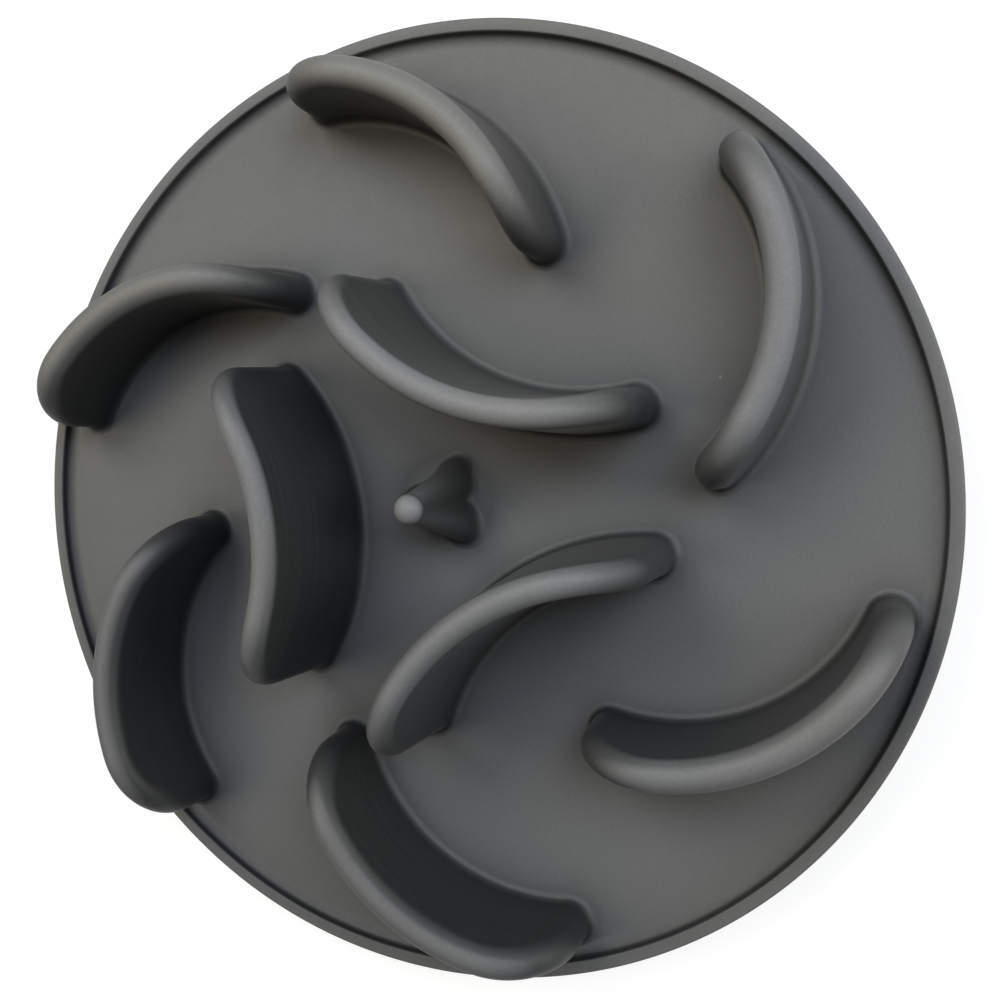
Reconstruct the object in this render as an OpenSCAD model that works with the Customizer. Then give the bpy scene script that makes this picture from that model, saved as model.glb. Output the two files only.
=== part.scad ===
// Slow feeder bowl insert: a round rubber disc with a low lip around it, six curved outer fins that swirl in
// from the lip, three taller curved inner fins, a three-lobed peg at the centre and suction cups underneath.
// The origin is at the middle of the plane that the cups rest on, +Z is up, and the first inner fin is on +Y.

/* [Disc and lip] */
// Outside diameter of the insert
insert_d = 170; // [150:1:200]
// Thickness of the floor that the fins stand on
floor_t = 3; // [2:0.5:6]
// Width of the lip at its top
lip_w = 2.2; // [1.6:0.1:5]
// Height of the lip above the floor
lip_h = 1.8; // [1:0.1:6]
// Radius of the hollow fillet where the lip meets the floor
lip_fillet_r = 1.6; // [0.4:0.1:4]
// Radius of the rounded outer edges of the disc and the lip
edge_r = 0.8; // [0.2:0.1:1]

/* [Outer fins] */
// Height of an outer fin above the floor
outer_h = 21.9; // [16:0.1:34]
// Thickness of an outer fin at its round ridge
outer_ridge_t = 5.4; // [3:0.1:8]
// Thickness of an outer fin just above its root fillet
outer_root_t = 6.7; // [3:0.1:9]
// Radius of the arc that an outer fin follows, seen from above
outer_arc_r = 38.3; // [32:0.1:80]
// Straight distance between the middles of an outer fin's two round ends
outer_chord = 49.7; // [36:0.1:56]
// Angle between the disc's radius and an outer fin, at the fin's middle
outer_swirl = 58.4; // [45:0.1:75]
// Gap between an outer fin's root and the foot of the lip's fillet
outer_lip_gap = 0.6; // [0.3:0.1:10]
// Direction of the middle of the first outer fin, counted from +X
outer_angle = 50.8; // [30:0.1:70]

/* [Inner fins] */
// Height of an inner fin above the floor
inner_h = 32.4; // [16:0.1:45]
// Thickness of an inner fin at its round ridge
inner_ridge_t = 4.6; // [3:0.1:8]
// Thickness of an inner fin just above its root fillet
inner_root_t = 7; // [3:0.1:9]
// Radius of the arc that an inner fin follows, seen from above
inner_arc_r = 41.4; // [34:0.1:80]
// Straight distance between the middles of an inner fin's two round ends
inner_chord = 49.6; // [36:0.1:54]
// Distance from the centre to the middle of an inner fin
inner_mid_r = 20.7; // [18:0.1:26]
// Direction of the middle of the first inner fin, counted from +X
inner_angle = 90; // [70:1:110]

/* [Fin edges] */
// Radius of a fin's rounded top corners, seen from the side
corner_r = 14; // [6:0.5:15]
// Radius of the hollow fillet at the root of the fins and the peg
root_fillet_r = 1.5; // [0.4:0.1:2]

/* [Centre peg] */
// Height of the peg above the floor
peg_h = 20.6; // [10:0.1:34]
// Diameter of the peg's round tip
peg_tip_d = 5.2; // [2:0.1:6]
// Distance from the centre to the end of a lobe at the foot
peg_lobe_r = 8.4; // [6:0.1:11]
// Distance from the centre to the hollow between two lobes at the foot
peg_web_r = 4.2; // [3.2:0.1:5.5]

/* [Suction cups] */
// Diameter of a cup's mouth, outside
cup_d = 22; // [16:1:36]
// Height of a cup, from its mouth to the disc
cup_h = 5; // [4:0.5:12]
// Depth of the hollow in a cup
cup_hollow_h = 2.6; // [1:0.1:3]
// Width of the flat ring that a cup rests on
cup_seat_w = 1.2; // [0.6:0.1:3]
// Height of the straight edge at a cup's mouth
cup_edge_h = 0.6; // [0.3:0.1:1]
// Diameter of the neck that joins a cup to the disc
cup_neck_d = 10; // [6:0.5:14]
// Height of the neck
cup_neck_h = 1.4; // [0.5:0.1:2]
// Distance from the centre to the cups of the outer ring
cup_ring_r = 56; // [38:1:60]

/* [Hidden] */

$fn = 96;
disc_grey = "#5c5e5f";
lip_grey = "#6a6c6b";
fin_grey = "#626466";
peg_grey = "#5a5c60";
cup_grey = "#4c4e50";

outer_count = 6;
inner_count = 3;
cup_ring_count = 6;

floor_z = cup_h + floor_t;
insert_r = insert_d / 2;

// The lip's fillet stands on a thin foot, so that it has no knife edge, and stays below the lip's top
lip_foot_h = 0.15;
lip_hollow_r = min(lip_fillet_r, lip_h - lip_foot_h);
lip_inner_r = insert_r - lip_w;
floor_r = lip_inner_r - lip_hollow_r;

// Steps of the fins' surface: around the ridge, along the fin, around a top corner and up the root fillet
ridge_steps = 6;
length_steps = 12;
corner_steps = 5;
root_steps = 3;

// Slope at which a root fillet meets the floor, and how far it then reaches out and up
root_start = 25;
root_reach = root_fillet_r * (1 - sin(root_start));
root_rise = root_fillet_r * cos(root_start);

// Steps of the peg's surface: around it, up its flank and over its round tip
peg_sides = 48;
flank_steps = 3;
tip_steps = 4;
peg_lobes = 3;

// An outer fin's far end lies against the lip's foot, which sets how far its middle is from the centre
outer_half = asin(outer_chord / 2 / outer_arc_r);
outer_bow = outer_arc_r * (1 - cos(outer_half));
outer_end_r = floor_r - outer_lip_gap - root_reach - outer_root_t / 2;
outer_end_out = outer_chord / 2 * cos(outer_swirl) - outer_bow * sin(outer_swirl);
outer_end_across = outer_chord / 2 * sin(outer_swirl) + outer_bow * cos(outer_swirl);
outer_mid_r = sqrt(outer_end_r ^ 2 - outer_end_across ^ 2) - outer_end_out;

// The hollow of a cup is part of a ball that passes through its mouth and its deepest point
cup_mouth_r = cup_d / 2 - cup_seat_w;
cup_ball_r = (cup_mouth_r ^ 2 + cup_hollow_h ^ 2) / (2 * cup_hollow_h);

// Two triangles for the four corners of a patch, in order around it
function patch(a, b, c, d) = [[a, b, c], [a, c, d]];

// Root fillet at step i: how far it reaches out from the wall, and its height above the floor
function root_slope(i) = root_start + (90 - root_start) * i / root_steps;
function root_out(i) = root_fillet_r * (1 - sin(root_slope(i)));
function root_up(i) = root_fillet_r * (cos(root_start) - cos(root_slope(i)));

// A fin is a sheet with a rounded border, bent along an arc. Its border runs up one end, over a rounded
// corner, along the ridge and down the other end. Each border step gives distance along the arc, height,
// and the outward direction along and up.
function border(half_len, top, r) = concat(
    [for (i = [0 : root_steps]) [half_len, root_up(i), 1, 0]],
    [for (i = [0 : corner_steps])
        let (a = 90 * i / corner_steps)
        [half_len - r + r * cos(a), top - r + r * sin(a), cos(a), sin(a)]]
);

// Half thickness at height z: it swells from the ridge to the root, and flares into the root fillet
function half_t(z, i, top, ridge_t, root_t) =
    ridge_t / 2 + (root_t - ridge_t) / 2 * (top - z) / top + (i < root_steps ? root_out(i) : 0);

// Point at distance s along an arc of radius r, n towards the arc's centre and z up
function on_arc(r, s, n, z) =
    let (a = s / r * 180 / PI)
    [(r - n) * sin(a), r - (r - n) * cos(a), z];

// A fin with the middle of its arc at the origin, running along X and curving towards +Y
module fin(h, ridge_t, root_t, arc_r, chord) {
    half_len = asin(chord / 2 / arc_r) / 180 * PI * arc_r;
    top = h - ridge_t / 2;
    end = border(half_len, top, corner_r - ridge_t / 2);
    rows = len(end) - 1;
    last = 2 * rows + length_steps;
    flat_half = end[rows][0];

    // Border steps all the way along: up the +X end, along the ridge and down the -X end
    path = [for (t = [0 : last])
        let (i = min(t, rows, last - t), e = end[i], along = flat_half * (1 - 2 * (t - rows) / length_steps))
        t < rows ? [e, i] :
        t > last - rows ? [[-e[0], e[1], -e[2], e[3]], i] :
        [[along, e[1], 0, 1], i]];

    // The rounded border, then the inside of the two side faces
    rim_points = [for (p = path, j = [0 : ridge_steps])
        let (e = p[0], w = half_t(e[1], p[1], top, ridge_t, root_t), a = 180 * j / ridge_steps - 90)
        on_arc(arc_r, e[0] + w * cos(a) * e[2], w * sin(a), e[1] + w * cos(a) * e[3])];
    side_points = [for (side = [-1, 1], i = [0 : rows - 1], k = [1 : length_steps - 1])
        let (e = end[i], w = half_t(e[1], i, top, ridge_t, root_t))
        on_arc(arc_r, e[0] * (1 - 2 * k / length_steps), side * w, e[1])];

    rim_at = function (t, j) t * (ridge_steps + 1) + j;
    side_at = function (side, i, k)
        k == 0 ? rim_at(i, side * ridge_steps) :
        k == length_steps ? rim_at(last - i, side * ridge_steps) :
        i == rows ? rim_at(rows + k, side * ridge_steps) :
        len(rim_points) + (side * rows + i) * (length_steps - 1) + k - 1;

    rim_faces = [for (t = [0 : last - 1], j = [0 : ridge_steps - 1])
        each patch(rim_at(t, j), rim_at(t + 1, j), rim_at(t + 1, j + 1), rim_at(t, j + 1))];
    back_faces = [for (i = [0 : rows - 1], k = [0 : length_steps - 1])
        each patch(side_at(0, i, k), side_at(0, i, k + 1), side_at(0, i + 1, k + 1), side_at(0, i + 1, k))];
    front_faces = [for (i = [0 : rows - 1], k = [0 : length_steps - 1])
        each patch(side_at(1, i, k), side_at(1, i + 1, k), side_at(1, i + 1, k + 1), side_at(1, i, k + 1))];
    foot_faces = [for (k = [0 : length_steps - 1])
        each patch(side_at(0, 0, k), side_at(1, 0, k), side_at(1, 0, k + 1), side_at(0, 0, k + 1))];
    toe_faces = [for (j = [1 : ridge_steps - 1])
        each [[rim_at(0, 0), rim_at(0, j), rim_at(0, j + 1)],
            [rim_at(last, 0), rim_at(last, j + 1), rim_at(last, j)]]];

    polyhedron(
        concat(rim_points, side_points),
        concat(rim_faces, back_faces, front_faces, foot_faces, toe_faces));
}

// Flat round floor with rounded lower edge
module base_disc() {
    color(disc_grey)
        translate([0, 0, cup_h])
            rotate_extrude() {
                translate([0, edge_r])
                    square([insert_r, floor_t - edge_r]);
                square([insert_r - edge_r, edge_r]);
                intersection() {
                    translate([insert_r - edge_r, edge_r])
                        circle(edge_r);
                    translate([insert_r - edge_r, 0])
                        square(edge_r);
                }
            }
}

// Raised lip on the edge of the floor, hollowed on its inner side and rounded at its outer top edge
module rim_lip() {
    color(lip_grey)
        translate([0, 0, floor_z])
            rotate_extrude()
                difference() {
                    translate([floor_r, 0])
                        square([insert_r - floor_r, lip_h]);
                    translate([floor_r, lip_foot_h + lip_hollow_r])
                        circle(lip_hollow_r);
                    translate([floor_r - lip_hollow_r, lip_foot_h + lip_hollow_r])
                        square([2 * lip_hollow_r, lip_h]);
                    difference() {
                        translate([insert_r - edge_r, lip_h - edge_r])
                            square(2 * edge_r);
                        translate([insert_r - edge_r, lip_h - edge_r])
                            circle(edge_r);
                    }
                }
}

// Outer fin number i, counted anticlockwise from above
module outer_fin(i) {
    color(fin_grey)
        rotate(outer_angle + (i - 1) * 360 / outer_count)
            translate([outer_mid_r, 0, floor_z])
                rotate(outer_swirl)
                    fin(outer_h, outer_ridge_t, outer_root_t, outer_arc_r, outer_chord);
}

// Inner fin number i, counted anticlockwise from above, bowed towards the centre
module inner_fin(i) {
    color(fin_grey)
        rotate(inner_angle + (i - 1) * 360 / inner_count)
            translate([inner_mid_r, 0, floor_z])
                rotate(-90)
                    fin(inner_h, inner_ridge_t, inner_root_t, inner_arc_r, inner_chord);
}

// Peg whose foot has a lobe towards each inner fin and whose flanks run straight up to a round tip
module centre_peg() {
    tip_r = peg_tip_d / 2;
    tip_z = peg_h - tip_r;
    lobe_mean = (peg_lobe_r + peg_web_r) / 2;
    lobe_swing = (peg_lobe_r - peg_web_r) / 2;
    foot_r = function (a) lobe_mean + lobe_swing * cos(peg_lobes * a);
    flank_r = function (a, z) foot_r(a) + (tip_r - foot_r(a)) * z / tip_z;
    angles = [for (i = [0 : peg_sides - 1]) 360 * i / peg_sides];

    // Each ring is a list of distances from the centre with one height
    root_rings = [for (i = [0 : root_steps])
        [[for (a = angles) flank_r(a, root_up(i)) + root_out(i)], root_up(i)]];
    flank_rings = [for (i = [1 : flank_steps])
        let (z = root_rise + (tip_z - root_rise) * i / flank_steps)
        [[for (a = angles) flank_r(a, z)], z]];
    tip_rings = [for (i = [1 : tip_steps - 1])
        let (b = 90 * i / tip_steps)
        [[for (a = angles) tip_r * cos(b)], tip_z + tip_r * sin(b)]];
    rings = concat(root_rings, flank_rings, tip_rings);
    count = len(rings);

    points = concat(
        [for (ring = rings, i = [0 : peg_sides - 1])
            let (r = ring[0][i], a = angles[i])
            [r * cos(a), r * sin(a), ring[1]]],
        [[0, 0, 0], [0, 0, peg_h]]);
    at = function (r, i) r * peg_sides + i % peg_sides;
    flank_faces = [for (r = [0 : count - 2], i = [0 : peg_sides - 1])
        each patch(at(r, i), at(r + 1, i), at(r + 1, i + 1), at(r, i + 1))];
    end_faces = [for (i = [0 : peg_sides - 1])
        each [[count * peg_sides, at(0, i), at(0, i + 1)],
            [count * peg_sides + 1, at(count - 1, i + 1), at(count - 1, i)]]];

    color(peg_grey)
        translate([0, 0, floor_z])
            rotate(inner_angle)
                polyhedron(points, concat(flank_faces, end_faces));
}

// Suction cup with its mouth down and its neck against the underside of the disc
module suction_cup() {
    bell_h = cup_h - cup_neck_h - cup_edge_h;
    color(cup_grey)
        difference() {
            union() {
                cylinder(h = cup_edge_h, d = cup_d);
                translate([0, 0, cup_edge_h])
                    cylinder(h = bell_h, d1 = cup_d, d2 = cup_neck_d);
                translate([0, 0, cup_edge_h + bell_h])
                    cylinder(h = cup_neck_h, d = cup_neck_d);
            }
            translate([0, 0, cup_hollow_h - cup_ball_r])
                sphere(cup_ball_r);
        }
}

// Cup number i of the ring, counted anticlockwise from above
module ring_cup(i) {
    rotate(inner_angle + (i - 1) * 360 / cup_ring_count)
        translate([cup_ring_r, 0, 0])
            suction_cup();
}

base_disc();
rim_lip();
outer_fin(1);  // outer_fin_1
outer_fin(2);  // outer_fin_2
outer_fin(3);  // outer_fin_3
outer_fin(4);  // outer_fin_4
outer_fin(5);  // outer_fin_5
outer_fin(6);  // outer_fin_6
inner_fin(1);  // inner_fin_1
inner_fin(2);  // inner_fin_2
inner_fin(3);  // inner_fin_3
centre_peg();
suction_cup();  // suction_cup_centre
ring_cup(1);  // suction_cup_1
ring_cup(2);  // suction_cup_2
ring_cup(3);  // suction_cup_3
ring_cup(4);  // suction_cup_4
ring_cup(5);  // suction_cup_5
ring_cup(6);  // suction_cup_6
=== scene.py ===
from math import asin, radians

import bmesh
import bpy
import numpy as np
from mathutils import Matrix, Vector


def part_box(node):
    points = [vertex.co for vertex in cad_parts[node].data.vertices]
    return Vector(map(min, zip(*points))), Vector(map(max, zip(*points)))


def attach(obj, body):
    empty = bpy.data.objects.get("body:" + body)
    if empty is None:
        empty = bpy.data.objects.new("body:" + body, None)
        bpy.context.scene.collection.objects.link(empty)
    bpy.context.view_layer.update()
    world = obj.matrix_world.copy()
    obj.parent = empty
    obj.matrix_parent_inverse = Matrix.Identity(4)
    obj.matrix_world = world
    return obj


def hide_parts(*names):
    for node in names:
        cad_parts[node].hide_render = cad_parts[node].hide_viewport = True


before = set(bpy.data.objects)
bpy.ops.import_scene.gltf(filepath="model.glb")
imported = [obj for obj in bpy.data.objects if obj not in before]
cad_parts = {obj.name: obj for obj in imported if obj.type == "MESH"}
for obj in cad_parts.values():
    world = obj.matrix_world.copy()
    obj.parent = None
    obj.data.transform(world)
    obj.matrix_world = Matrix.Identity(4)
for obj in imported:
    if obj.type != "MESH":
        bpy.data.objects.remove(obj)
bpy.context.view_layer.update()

# Slow feeder bowl insert: one dark grey silicone moulding. Sizes are in millimetres, the part's own.
mm = 0.001
scene = bpy.context.scene
discLow, discHigh = (np.array(corner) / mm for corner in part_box("base_disc"))
underZ, floorZ = discLow[2], discHigh[2]  # the disc's underside, and the floor that the fins stand on
discR = min(*np.abs(discLow[:2]), *discHigh[:2])
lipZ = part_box("rim_lip")[1][2] / mm
print("frame: disc radius %.1f mm, floor at %.1f mm" % (discR, floorZ))


# Surfaces: every shape is a list of grids, arrays of rows by columns by x, y, z

meshing = {"merge": 1e-7, "sliver": 1e-8, "sharp": 50}  # distances in metres, and the angle of a sharp edge


def turned(points, degrees):  # points turned about Z
    c, s = np.cos(radians(degrees)), np.sin(radians(degrees))
    x, y = points[..., 0], points[..., 1]
    return np.stack([c * x - s * y, s * x + c * y, points[..., 2]], -1)


def revolved(profile, steps):  # radius and height of each profile point, carried round the Z axis
    angle = np.linspace(0, 2 * np.pi, steps + 1)
    r, z = np.array(profile, float).T[:, :, None]
    return np.stack(np.broadcast_arrays(r * np.cos(angle), r * np.sin(angle), z), -1)


def bow(centre, radius, start, end, steps=12):  # an arc in a profile, round or oval, angles in degrees
    a = np.radians(np.linspace(start, end, steps + 1))
    wide, tall = np.broadcast_to(radius, 2)
    return list(zip(centre[0] + wide * np.cos(a), centre[1] + tall * np.sin(a)))


def addPiece(name, node, grids, material, uvGrids=None, nearness=None, paintedLight=None, sharp=meshing["sharp"]):
    # Grids become one closed mesh: their faces are joined where the grids meet, and turned outwards
    points = np.concatenate([g.reshape(-1, 3) for g in grids]) * mm
    faces, start = [], 0
    for g in grids:
        index = np.arange(g.shape[0] * g.shape[1]).reshape(g.shape[:2]) + start
        corners = (index[:-1, :-1], index[1:, :-1], index[1:, 1:], index[:-1, 1:])
        faces.append(np.stack([c.ravel() for c in corners], -1))
        start += index.size
    faces = np.concatenate(faces)
    mesh = bpy.data.meshes.new(name)
    mesh.from_pydata(points.tolist(), [], faces.tolist())
    if uvGrids is not None:
        uv = np.concatenate([g.reshape(-1, 2) for g in uvGrids]) * mm
        layer = mesh.uv_layers.new(name="along_up")
        layer.data.foreach_set("uv", uv[faces.ravel()].ravel().astype(np.float32))
    # two values at each point for the material: nearness to a foot, for painted shade, and painted light, a
    # highlight above zero and shade below
    if nearness is None:
        nearness = np.exp(-np.abs(points[:, 2] / mm - floorZ) / siliconeLook["footShadeMm"])
    if paintedLight is None:
        paintedLight = np.zeros(len(points))
    for label, values in (("near_foot", nearness), ("paintedLight", paintedLight)):
        mesh.attributes.new(label, "FLOAT", "POINT").data.foreach_set("value", values.astype(np.float32))
    work = bmesh.new()
    work.from_mesh(mesh)
    bmesh.ops.remove_doubles(work, verts=work.verts, dist=meshing["merge"])
    bmesh.ops.dissolve_degenerate(work, edges=work.edges, dist=meshing["sliver"])
    bmesh.ops.recalc_face_normals(work, faces=work.faces)
    work.to_mesh(mesh)
    work.free()
    mesh.polygons.foreach_set("use_smooth", np.ones(len(mesh.polygons), bool))
    mesh.set_sharp_from_angle(angle=radians(sharp))
    mesh.materials.append(material)
    piece = bpy.data.objects.new(name, mesh)
    scene.collection.objects.link(piece)
    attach(piece, "root")
    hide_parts(node)


# Materials

def hexColour(code):  # an sRGB hex value as the linear colour that a shader takes
    parts = np.array([int(code[i:i + 2], 16) / 255 for i in (1, 3, 5)])
    linear = np.where(parts <= 0.04045, parts / 12.92, ((parts + 0.055) / 1.055) ** 2.4)
    return (*linear.tolist(), 1.0)


def addNode(tree, kind, sockets=(), **settings):
    # A node and its settings. Its sockets take values or links, from a list in order or a dictionary by key.
    node = tree.nodes.new("ShaderNode" + kind)
    for key, value in settings.items():
        setattr(node, key, value)
    for key, value in sockets.items() if isinstance(sockets, dict) else enumerate(sockets):
        if isinstance(value, bpy.types.NodeSocket):
            tree.links.new(value, node.inputs[key])
        else:
            node.inputs[key].default_value = value
    return node


def perMm(size):  # pattern scale for a feature of this many millimetres
    return 1 / (size * mm)


# A name with Facing is how far a face looks up or sideways, where its layer sets in and where it is full.
# One with Range is the noise between which a pattern runs, and one with Bump a strength and a height in mm.
siliconeLook = {
    # the rubber's own dark grey, the paler grey that faces looking up are given as painted top light, and
    # the painted highlight of the fin tops
    "wall": "#141617", "paintedTopLight": "#646464", "ridge": "#7d7d7c",  # clean rubber, faces that look up, fin tops
    "paintedTopLightFacing": (0.7, 1.0), "topFacing": (-0.1, 0.5),
    "footShadeShare": 0.46, "footShadeMm": 2.7,  # share of the paler top-lit grey taken off at a foot as painted shade, and how far that reaches
    # painted highlight of the fin tops: the height where it is full, the way to the lit side, and where
    # along that way it is least and most
    "highMm": 44, "lightSide": (0.21, 0.98, 0), "lightSideMm": (-70, 30), "sideLight": (0.12, 1.0),
    # paler grey on walls, an even share and painted light on walls facing the lamps: the way the light comes
    # from, how far out on the lit side only the painted light counts, and the shares of the even grey and of
    # the most
    "lampSide": (0.7, 0.7, 0), "lampFacing": (-0.9, 0.9), "lampSideMm": 40, "wallPaleAndLit": (0.06, 0.38),
    "cool": "#f9fbff", "warm": "#fffdf8",  # tints that drift into each other
    "driftMm": 70, "driftShift": (150, 100, 300), "driftRange": (0.35, 0.65),
    "driftNoise": {"Detail": 1.0, "Roughness": 0.5},
    "grainMm": 0.5, "grainRange": (0.25, 0.75), "grainShade": (0.91, 1.09), "grainBump": (0.12, 0.03),
    "grainNoise": {"Detail": 2.0, "Roughness": 0.6},
    "lineMm": (40, 1.1), "lineRange": (0.35, 0.7), "lineShade": (0.85, 1.25), "lineBump": (0.25, 0.06),
    "lineNoise": {"Detail": 3.0, "Roughness": 0.7},
    "speck": "#8d8d88", "speckMm": 0.22, "speckCellMm": 12, "speckLeftOut": 0.55,
    "skinMm": 2.2, "skinRange": (0.3, 0.7), "skinBump": (0.1, 0.05), "rough": (0.53, 0.59),
    "skinNoise": {"Detail": 2.0, "Roughness": 0.5},
    "ior": 1.48, "sheen": 0.06, "sheenRough": 0.3,
}


def mouldedSilicone(name, drawLines=False):
    # Silicone rubber from a blasted steel mould: dark and matte, with a soft broad sheen. Faces that look up
    # are painted paler as top light, most of all the fin tops with a painted highlight, and walls keep the
    # deep grey.
    look = siliconeLook
    material = bpy.data.materials.new(name)
    material.use_nodes = True
    tree = material.node_tree
    tree.nodes.clear()
    place = addNode(tree, "TexCoord")
    where, normal = place.outputs["Object"], place.outputs["Normal"]
    facing = addNode(tree, "SeparateXYZ", [normal]).outputs["Z"]
    level = addNode(tree, "SeparateXYZ", [where]).outputs["Z"]
    smooth = {"interpolation_type": "SMOOTHSTEP"}

    # painted shade: the paler top-lit grey thins out towards the feet of the fins and the lip
    near = addNode(tree, "Attribute", attribute_name="near_foot").outputs["Fac"]
    footShade = addNode(tree, "MapRange", [near, 0.0, 1.0, 1.0, 1 - look["footShadeShare"]]).outputs[0]
    paintedTopLight = addNode(tree, "MapRange", [facing, *look["paintedTopLightFacing"]]).outputs[0]
    paintedTopLight = addNode(tree, "Math", [paintedTopLight, footShade], operation="MULTIPLY").outputs[0]

    # painted highlight on the fin tops: the more the higher, where they look up, and towards the lit side of
    # the insert
    upper = addNode(tree, "MapRange", [facing, *look["topFacing"]], **smooth).outputs[0]
    high = addNode(tree, "MapRange", [level, 0.0, look["highMm"] * mm], **smooth).outputs[0]
    side = addNode(tree, "VectorMath", [where, look["lightSide"]], operation="DOT_PRODUCT").outputs["Value"]
    lightStart, lightFull = (s * mm for s in look["lightSideMm"])
    sideLight = addNode(tree, "MapRange", [side, lightStart, lightFull, *look["sideLight"]]).outputs[0]
    # so are the lip's outer edge and the peg's tip, a painted highlight where the painted-light value is
    # above zero, and the ends of the fins, where it is below zero, are less so, as painted shade
    paintedLight = addNode(tree, "Attribute", attribute_name="paintedLight").outputs["Fac"]
    endUnshaded = addNode(tree, "MapRange", [paintedLight, -1.0, 0.0]).outputs[0]
    highlighted = addNode(tree, "MapRange", [paintedLight]).outputs[0]
    top = upper
    for mask in (high, sideLight, endUnshaded):
        top = addNode(tree, "Math", [top, mask], operation="MULTIPLY").outputs[0]
    top = addNode(tree, "Math", [highlighted, upper, top], operation="MULTIPLY_ADD", use_clamp=True).outputs[0]

    # walls get an even paler share, which on the lit side gives way to painted light on walls that face the
    # lamps and painted shade on those that face away
    evenPale, mostLit = look["wallPaleAndLit"]
    lean = addNode(tree, "VectorMath", [normal, look["lampSide"]], operation="DOT_PRODUCT").outputs["Value"]
    wallPaleAndLit = addNode(tree, "MapRange", [lean, *look["lampFacing"], 0.0, mostLit], **smooth).outputs[0]
    reach = addNode(tree, "MapRange", [side, 0.0, look["lampSideMm"] * mm]).outputs[0]
    wallPaleAndLit = addNode(tree, "Mix", {0: reach, 2: evenPale, 3: wallPaleAndLit}, data_type="FLOAT").outputs[0]
    colour = hexColour(look["wall"])
    for share, over in ((paintedTopLight, "paintedTopLight"), (wallPaleAndLit, "paintedTopLight"), (top, "ridge")):
        layer = {0: share, 6: colour, 7: hexColour(look[over])}
        colour = addNode(tree, "Mix", layer, data_type="RGBA").outputs[2]

    # slow drift between a cool and a warm grey, and a fine grain
    shift = addNode(tree, "Mapping", {"Vector": where, "Location": [s * mm for s in look["driftShift"]]})
    drift = addNode(tree, "TexNoise", {"Vector": shift.outputs[0], "Scale": perMm(look["driftMm"]),
                                       **look["driftNoise"]}).outputs["Fac"]
    drift = addNode(tree, "MapRange", [drift, *look["driftRange"]]).outputs[0]
    tint = addNode(tree, "Mix", {0: drift, 6: hexColour(look["cool"]), 7: hexColour(look["warm"])},
                   data_type="RGBA").outputs[2]
    grain = addNode(tree, "TexNoise", {"Vector": where, "Scale": perMm(look["grainMm"]),
                                       **look["grainNoise"]}).outputs["Fac"]
    shade = addNode(tree, "MapRange", [grain, *look["grainRange"], *look["grainShade"]]).outputs[0]
    layers, heights = [(1.0, tint), (1.0, shade)], [(grain, "grainBump")]
    if drawLines:  # faint lines that the cutter left in the mould, along the fin's walls
        stretch = (*map(perMm, look["lineMm"]), 1)
        spread = addNode(tree, "Mapping", {"Vector": place.outputs["UV"], "Scale": stretch})
        lines = addNode(tree, "TexNoise", {"Vector": spread.outputs[0], "Scale": 1.0,
                                           **look["lineNoise"]}).outputs["Fac"]
        streak = addNode(tree, "MapRange", [lines, *look["lineRange"], *look["lineShade"]]).outputs[0]
        onWall = addNode(tree, "MapRange", [upper, 0.0, 1.0, 1.0, 0.0]).outputs[0]
        layers.append((onWall, streak))
    for share, layer in layers:
        colour = addNode(tree, "Mix", {0: share, 6: colour, 7: layer},
                         data_type="RGBA", blend_type="MULTIPLY").outputs[2]

    # a few specks of dust: the middles of some of the cells that space is cut into, on faces that look up
    cells = addNode(tree, "TexVoronoi", {"Vector": where, "Scale": perMm(look["speckCellMm"])})
    speckSize = look["speckMm"] / look["speckCellMm"]
    speck = addNode(tree, "Math", [cells.outputs["Distance"], speckSize], operation="LESS_THAN").outputs[0]
    draw = addNode(tree, "SeparateColor", [cells.outputs["Color"]]).outputs[0]
    chosen = addNode(tree, "Math", [draw, look["speckLeftOut"]], operation="GREATER_THAN").outputs[0]
    for mask in (chosen, paintedTopLight):
        speck = addNode(tree, "Math", [speck, mask], operation="MULTIPLY").outputs[0]
    colour = addNode(tree, "Mix", {0: speck, 6: colour, 7: hexColour(look["speck"])},
                     data_type="RGBA").outputs[2]

    # the skin is a little uneven, in height and in gloss
    skin = addNode(tree, "TexNoise", {"Vector": where, "Scale": perMm(look["skinMm"]),
                                      **look["skinNoise"]}).outputs["Fac"]
    rough = addNode(tree, "MapRange", [skin, *look["skinRange"], *look["rough"]]).outputs[0]
    heights.append((skin, "skinBump"))
    if drawLines:
        heights.append((lines, "lineBump"))
    bump = {}
    for height, key in heights:
        strength, tall = look[key]
        bump["Normal"] = addNode(tree, "Bump", {"Strength": strength, "Distance": tall * mm,
                                                "Height": height, **bump}).outputs[0]
    shader = addNode(tree, "BsdfPrincipled", {"Base Color": colour, "Roughness": rough, "IOR": look["ior"],
                                              "Sheen Weight": look["sheen"],
                                              "Sheen Roughness": look["sheenRough"], **bump})
    addNode(tree, "OutputMaterial", [shader.outputs[0]])
    return material


discSilicone = mouldedSilicone("moulded_silicone")
finSilicone = mouldedSilicone("moulded_silicone_fins", drawLines=True)
print("materials: moulded silicone, plain and with mould lines")


# Lip

aroundSteps = 384  # of the disc and the lip
lip = {"width": 2.45, "hollow": (2.3, 1.2), "innerEdge": (0.45, 0.6), "outerEdge": 0.5,
       "hollowSteps": 16, "innerEdgeSteps": 8,
       # painted shade of the paler top-lit grey where the hollow meets the floor, up in the hollow and on
       # top
       "shadeShare": (0.2, 1.3, 0.35), "startMm": 0.25, "footShadeMm": 0.7, "floorMm": 4,  # and how far it reaches
       "highlight": 0.5, "highlightMm": 0.8}  # how strong the painted highlight on the outer edge is, and how far in


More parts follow.
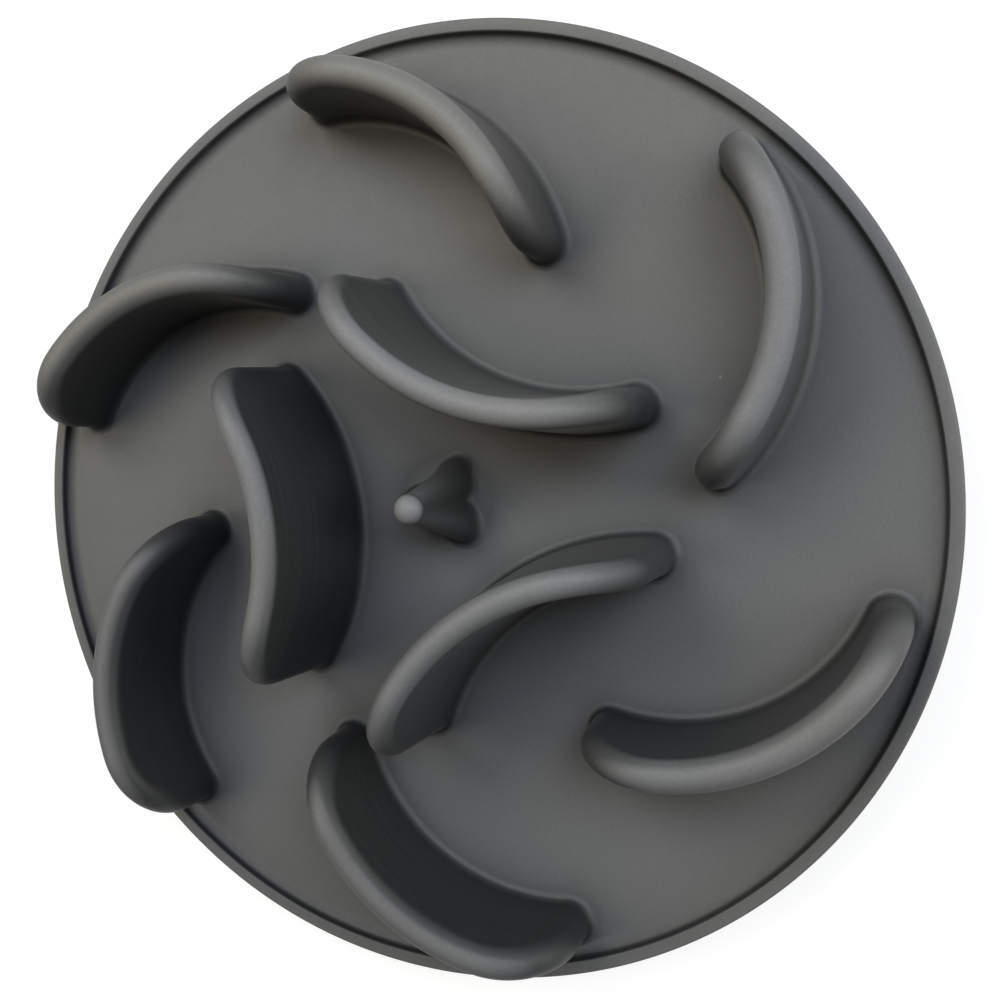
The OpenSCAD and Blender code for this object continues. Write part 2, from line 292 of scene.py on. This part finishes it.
def lipProfile():  # from the foot inside, up a hollow fillet, over the flat top and round the outer edge
    inner = discR - lip["width"]
    (hollowW, hollowH), (edgeW, edgeH) = lip["hollow"], lip["innerEdge"]
    e = lip["outerEdge"]
    foot = (inner - hollowW, floorZ)
    return (bow((inner - hollowW, floorZ + hollowH), lip["hollow"], -90, 0, lip["hollowSteps"])
            + bow((inner + edgeW, lipZ - edgeH), lip["innerEdge"], 180, 90, lip["innerEdgeSteps"])
            + bow((discR - e, lipZ - e), e, 90, 0) + [(discR, floorZ), foot])


lipGrid = revolved(lipProfile(), aroundSteps)
# painted shade where the hollow meets the floor, up in the hollow and on top
lipRise = np.abs(lipGrid[..., 2].ravel() - floorZ)
lipFade = np.exp(-lipRise / lip["footShadeMm"])
atFloor, inHollow, onTop = lip["shadeShare"]
lipNearness = (inHollow + (atFloor - inHollow) * np.exp(-lipRise / lip["startMm"])) * lipFade
lipNearness += onTop * (1 - lipFade)
# painted highlight on the lip's outer edge
fromEdge = discR - np.hypot(lipGrid[..., 0], lipGrid[..., 1]).ravel()
lipPaintedLight = lip["highlight"] * np.clip(1 - fromEdge / lip["highlightMm"], 0, 1)
addPiece("lip_moulding", "rim_lip", [lipGrid], discSilicone, nearness=lipNearness, paintedLight=lipPaintedLight)
print("lip made")


# Fins

fins = {"corner": 14, "fillet": 1.5, "filletStart": 4,  # the start in degrees saves the toe a knife edge
        "endShade": 0.65, "endPower": 8}  # how much painted shade dims the pale top at the ends, and how close to them
# a fin's turn about its own middle is its swirl, and its middle is how far out that lies
outerFin = {"height": 21.9, "ridge": 5.4, "root": 6.7, "arc": 38.3, "chord": 49.7,
            "swirl": 58.4, "middle": 66.61, "angle": 50.8, "count": 6}
innerFin = {"height": 32.4, "ridge": 4.6, "root": 7.0, "arc": 41.4, "chord": 49.6,
            "swirl": -90, "middle": 20.7, "angle": 90, "count": 3}
finSteps = {"ridge": 20, "length": 72, "corner": 20, "fillet": 6, "wall": 14}


def filletRows():  # the hollow fillet at a root: how far it stands out, and its height, from the floor up
    a = np.radians(np.linspace(fins["filletStart"], 90, finSteps["fillet"] + 1))
    return fins["fillet"] * (1 - np.sin(a)), fins["fillet"] * (np.cos(a[0]) - np.cos(a))


def halfLength(fin):  # along the arc, from the middle of a fin to the end of its chord
    return fin["arc"] * asin(fin["chord"] / 2 / fin["arc"])


def onArc(radius, along, out, up):  # along an arc in plan, out towards its centre, and up
    a = along / radius
    x, y = (radius - out) * np.sin(a), radius - (radius - out) * np.cos(a)
    return np.stack(np.broadcast_arrays(x, y, up), -1)


def finGrids(fin):
    # A fin is a sheet bent along an arc, with a border that is round all the way: half a tube that runs up
    # one end, over a rounded corner, along the ridge and down the other end. Walls swell towards the root.
    half = halfLength(fin)
    top = fin["height"] - fin["ridge"] / 2
    corner = fins["corner"] - fin["ridge"] / 2
    flare, flareUp = filletRows()
    wallUp = np.linspace(flareUp[-1], top - corner, finSteps["wall"] + 1)[1:-1]
    a = np.radians(np.linspace(0, 90, finSteps["corner"] + 1))
    straight = len(flareUp) + len(wallUp)
    endAlong = np.concatenate([np.full(straight, half), half - corner + corner * np.cos(a)])
    endUp = np.concatenate([flareUp, wallUp, top - corner + corner * np.sin(a)])
    outAlong = np.concatenate([np.ones(straight), np.cos(a)])
    outUp = np.concatenate([np.zeros(straight), np.sin(a)])
    width = fin["ridge"] / 2 + (fin["root"] - fin["ridge"]) / 2 * (top - endUp) / top
    width[:len(flare)] += flare

    # the border as half circles across the path
    n = finSteps["length"]
    flat = np.linspace(endAlong[-1], -endAlong[-1], n + 1)[1:-1]
    over = np.ones(n - 1)
    pathAlong = np.concatenate([endAlong, flat, -endAlong[::-1]])[:, None]
    pathUp = np.concatenate([endUp, over * top, endUp[::-1]])[:, None]
    pathOutAlong = np.concatenate([outAlong, over * 0, -outAlong[::-1]])[:, None]
    pathOutUp = np.concatenate([outUp, over, outUp[::-1]])[:, None]
    pathWidth = np.concatenate([width, over * fin["ridge"] / 2, width[::-1]])[:, None]
    turn = np.radians(np.linspace(-90, 90, finSteps["ridge"] + 1))
    reach, across = pathWidth * np.cos(turn), pathWidth * np.sin(turn)
    rim = (pathAlong + reach * pathOutAlong, across, pathUp + reach * pathOutUp)

    # the two walls between the ends, and the foot with its round toes
    share = np.linspace(1, -1, n + 1)
    wallAlong, still = endAlong[:, None] * share, np.zeros((len(endAlong), n + 1))
    walls = [(wallAlong, side * width[:, None] + still, endUp[:, None] + still) for side in (-1, 1)]
    ground = np.zeros((2, n + 1))
    foot = (half * share + ground, width[0] * np.array([[-1], [1]]) + ground, ground)
    spread = np.array([[0.0], [1.0]]) * width[0]
    toeGround = np.zeros((2, len(turn)))
    toes = [(end * (half + spread * np.cos(turn)), spread * np.sin(turn), toeGround) for end in (1, -1)]
    sheets = [rim, *walls, foot, *toes]
    grids = [onArc(fin["arc"], *sheet) for sheet in sheets]
    uvGrids = [np.stack(np.broadcast_arrays(sheet[0], sheet[2]), -1) for sheet in sheets]

    # painted shade on the ends: the pale top fades out round the corners, by how far the border has turned
    # from the ridge to the end
    rimEndShade = np.abs(pathOutAlong) + 0 * reach
    wallEndShade = outAlong[:, None] * np.abs(share) ** fins["endPower"]
    endShades = [rimEndShade, wallEndShade, wallEndShade, ground, toeGround, toeGround]
    return grids, uvGrids, -fins["endShade"] * np.concatenate([c.ravel() for c in endShades])


def finPlaced(fin, grid, i):  # a grid of one fin, turned and moved to the place of fin number i
    swirled = turned(grid, fin["swirl"]) + [fin["middle"], 0, floorZ]
    return turned(swirled, fin["angle"] + 360 * i / fin["count"])


def addFins(fin, label):  # all fins of one kind, each a turned copy of the same grids
    grids, uvGrids, paintedLight = finGrids(fin)
    for i in range(fin["count"]):
        placed = [finPlaced(fin, g, i) for g in grids]
        addPiece("%s_fin_moulding_%d" % (label, i + 1), "%s_fin_%d" % (label, i + 1), placed, finSilicone,
                 uvGrids, paintedLight=paintedLight)


addFins(outerFin, "outer")
addFins(innerFin, "inner")
print("fins made")


# Centre peg

peg = {"height": 20.6, "tip": 5.2, "lobe": 8.4, "web": 4.2, "lobes": 3, "sides": 144, "flank": 24, "cap": 14,
       "highlight": 0.6, "highlightMm": 4}  # how strong the painted highlight on the tip is, and how far down


def pegGrid():
    # A three-lobed foot, whose radius swings between lobe and web with the cosine of three times the angle,
    # drawn straight up to a round tip
    angle = np.linspace(0, 2 * np.pi, peg["sides"] + 1)
    foot = (peg["lobe"] + peg["web"]) / 2 + (peg["lobe"] - peg["web"]) / 2 * np.cos(peg["lobes"] * angle)
    tip = peg["tip"] / 2
    tipZ = peg["height"] - tip
    flare, flareUp = filletRows()
    up = np.concatenate([flareUp, np.linspace(flareUp[-1], tipZ, peg["flank"] + 1)[1:]])
    extra = np.concatenate([flare, np.zeros(peg["flank"])])
    radius = foot + (tip - foot) * up[:, None] / tipZ + extra[:, None]
    b = np.radians(np.linspace(0, 90, peg["cap"] + 1))[1:]
    radius = np.concatenate([0 * foot[None], radius, tip * np.cos(b)[:, None] + 0 * foot])
    up = np.concatenate([[0], up, tipZ + tip * np.sin(b)])
    grid = np.stack([radius * np.cos(angle), radius * np.sin(angle), up[:, None] + 0 * radius], -1)
    return turned(grid + [0, 0, floorZ], innerFin["angle"])


pegPlaced = pegGrid()
# painted highlight on the peg's tip
fromTip = floorZ + peg["height"] - pegPlaced[..., 2].ravel()
pegPaintedLight = peg["highlight"] * np.clip(1 - fromTip / peg["highlightMm"], 0, 1)
addPiece("peg_moulding", "centre_peg", [pegPlaced], discSilicone, paintedLight=pegPaintedLight)
print("peg made")


# Disc

disc = {"edge": 0.8, "rings": 60, "footSteps": 48, "skin": 0.01}


def discProfile():  # underside from the centre, round the lower edge, up, and back along the floor
    e = disc["edge"]
    floor = [(r, floorZ) for r in np.linspace(discR, 0, disc["rings"] + 1)]
    return [(0, underZ)] + bow((discR - e, underZ + e), e, -90, 0) + floor


def footNearness(points):
    # On the floor, 1 at the foot of a fin or the peg and less at the lip, falling off with the distance: the
    # nearness that drives painted shade
    flat = points[..., :2].reshape(-1, 2)
    fromMiddle = np.hypot(*flat.T)
    gap = np.abs(fromMiddle - peg["lobe"])
    for fin in (outerFin, innerFin):
        half = halfLength(fin)
        line = onArc(fin["arc"], np.linspace(-half, half, disc["footSteps"]), 0, 0)
        for i in range(fin["count"]):
            x, y = finPlaced(fin, line, i)[:, :2].T
            away = np.hypot(flat[:, :1] - x, flat[:, 1:] - y).min(1) - fin["root"] / 2 - fins["fillet"]
            gap = np.minimum(gap, np.maximum(away, 0))
    lipGap = np.abs(discR - lip["width"] - lip["hollow"][0] - fromMiddle)
    nearness = np.maximum(np.exp(-gap / siliconeLook["footShadeMm"]), atFloor * np.exp(-lipGap / lip["floorMm"]))
    return nearness * (points[..., 2].ravel() > floorZ - disc["skin"])


discGrid = revolved(discProfile(), aroundSteps)
addPiece("disc_moulding", "base_disc", [discGrid], discSilicone, nearness=footNearness(discGrid))
print("disc made")


# Suction cups

cup = {"mouth": 22, "height": 5, "hollow": 2.6, "seat": 1.2, "edge": 0.6, "round": 0.25, "neck": 10,
       "neckHeight": 1.4, "ring": 56, "count": 6,
       "around": 96, "hollowSteps": 24, "bellSteps": 14, "roundSteps": 6, "sharp": 30}


def cupProfile():  # out from the hollow's middle, round the seat and edge, in along the bell and up the neck
    mouthR, neckR = cup["mouth"] / 2, cup["neck"] / 2
    inner = mouthR - cup["seat"]
    ball = (inner ** 2 + cup["hollow"] ** 2) / (2 * cup["hollow"])
    r = np.linspace(0, inner, cup["hollowSteps"] + 1)
    hollow = list(zip(r, cup["hollow"] - ball + np.sqrt(ball ** 2 - r ** 2)))
    e = cup["round"]
    bellTop = cup["height"] - cup["neckHeight"]
    t = np.linspace(0, 1, cup["bellSteps"] + 1)[1:-1]
    bell = list(zip(mouthR + (neckR - mouthR) * t, cup["edge"] + (bellTop - cup["edge"]) * t))
    neck = [(neckR, bellTop), (neckR, cup["height"]), (0, cup["height"])]
    seat = bow((mouthR - e, e), e, -90, 0, cup["roundSteps"])
    return hollow + seat + [(mouthR, cup["edge"])] + bell + neck


cupGrid = revolved(cupProfile(), cup["around"])
addPiece("cup_moulding_centre", "suction_cup_centre", [cupGrid], discSilicone, sharp=cup["sharp"])
for i in range(cup["count"]):
    angle = innerFin["angle"] + 360 * i / cup["count"]
    placed = turned(cupGrid + [cup["ring"], 0, 0], angle)
    addPiece("cup_moulding_%d" % (i + 1), "suction_cup_%d" % (i + 1), [placed], discSilicone,
             sharp=cup["sharp"])
print("suction cups made")


# Stage, light and camera

stage = {"half": 4000, "wallHeight": 2500, "below": 0.02,  # the floor lies just clear of the cups
         "colour": "#8a8a8a", "fibre": "#8d8d8c", "fibreMm": 1.2, "fibreDetail": 3.0,
         "floorGlow": 0.82, "wallGlow": 0.4, "sky": "#ffffff", "skyStrength": 0.02}


def mattPaper(name, glowStrength):
    # Matt grey paper: the camera and mirrors see it lifted, the floor to white, and it keeps the shadow
    material = bpy.data.materials.new(name)
    material.use_nodes = True
    tree = material.node_tree
    tree.nodes.clear()
    where = addNode(tree, "TexCoord").outputs["Object"]
    fibre = addNode(tree, "TexNoise", {"Vector": where, "Scale": perMm(stage["fibreMm"]),
                                       "Detail": stage["fibreDetail"]})
    tone = addNode(tree, "Mix", {0: fibre.outputs["Fac"], 6: hexColour(stage["colour"]),
                                 7: hexColour(stage["fibre"])}, data_type="RGBA")
    paper = addNode(tree, "BsdfDiffuse", {"Color": tone.outputs[2]})
    glow = addNode(tree, "Emission", {"Strength": glowStrength})
    dark = addNode(tree, "Emission", {"Strength": 0.0})
    path = addNode(tree, "LightPath").outputs
    seen = path["Is Camera Ray"]
    for ray in ("Is Glossy Ray", "Is Transmission Ray"):
        seen = addNode(tree, "Math", [seen, path[ray]], operation="MAXIMUM").outputs[0]
    lift = addNode(tree, "MixShader", [seen, dark.outputs[0], glow.outputs[0]])
    both = addNode(tree, "AddShader", [paper.outputs[0], lift.outputs[0]])
    addNode(tree, "OutputMaterial", [both.outputs[0]])
    return material


def addPaper(name, points, faces, material):  # flat sheets of paper around the insert, no part of it
    mesh = bpy.data.meshes.new(name)
    mesh.from_pydata((np.array(points) * mm).tolist(), [], faces)
    mesh.materials.append(material)
    paper = bpy.data.objects.new(name, mesh)
    scene.collection.objects.link(paper)


square = [(x * stage["half"], y * stage["half"]) for x, y in ((-1, -1), (1, -1), (1, 1), (-1, 1))]
low = [(x, y, -stage["below"]) for x, y in square]
tall = [(x, y, stage["wallHeight"]) for x, y in square]
addPaper("paper_floor", low, [(0, 1, 2, 3)], mattPaper("matt_paper_floor", stage["floorGlow"]))
addPaper("paper_backdrop", low + tall, [(i, i + 4, (i + 1) % 4 + 4, (i + 1) % 4) for i in range(4)],
         mattPaper("matt_paper_backdrop", stage["wallGlow"]))

world = bpy.data.worlds.new("studio")
scene.world = world
world.use_nodes = True
world.node_tree.nodes.clear()
sky = addNode(world.node_tree, "Background", [hexColour(stage["sky"]), stage["skyStrength"]])
addNode(world.node_tree, "OutputWorld", [sky.outputs[0]])

lampAway, lampWidth = 900, 450  # from the middle of the foot, and across
lamps = {  # direction round from +X and up in degrees, power in watts, colour
    "windowTop": (60, 52, 3.44, "#e6f0ff"),
    "windowLeft": (150, 52, 3.14, "#fffef5"),
    "wallLeft": (208, 50, 1.95, "#fff4db"),
    "wallRight": (30, 22, 2.88, "#fffdf2"),
    "ceiling": (105, 62, 1.22, "#eff5ff"),
}
for name, (around, up, power, colour) in lamps.items():
    light = bpy.data.lights.new(name, "AREA")
    light.shape = "DISK"
    light.size = lampWidth * mm
    light.energy = power
    light.color = hexColour(colour)[:3]
    lamp = bpy.data.objects.new(name, light)
    flat = np.cos(radians(up))
    aim = Vector((flat * np.cos(radians(around)), flat * np.sin(radians(around)), np.sin(radians(up))))
    lamp.location = aim * lampAway * mm
    lamp.rotation_euler = aim.to_track_quat("Z", "Y").to_euler()
    scene.collection.objects.link(lamp)

photoCamera = {"place": (59.3, 42.4, 201.6), "turn": (-1.85, 20.43, 23.01), "sensor": 36, "lens": 41.38,
               "shift": (0.0578, -0.0494), "nearest": 5}
lens = bpy.data.cameras.new("photo_camera")
lens.sensor_width = photoCamera["sensor"]
lens.lens = photoCamera["lens"]
lens.shift_x, lens.shift_y = photoCamera["shift"]
lens.clip_start = photoCamera["nearest"] * mm
camera = bpy.data.objects.new("photo_camera", lens)
camera.location = Vector(photoCamera["place"]) * mm
camera.rotation_euler = [radians(a) for a in photoCamera["turn"]]
scene.collection.objects.link(camera)
scene.camera = camera
scene.view_settings.view_transform = "Standard"
print("stage, lights and camera set")
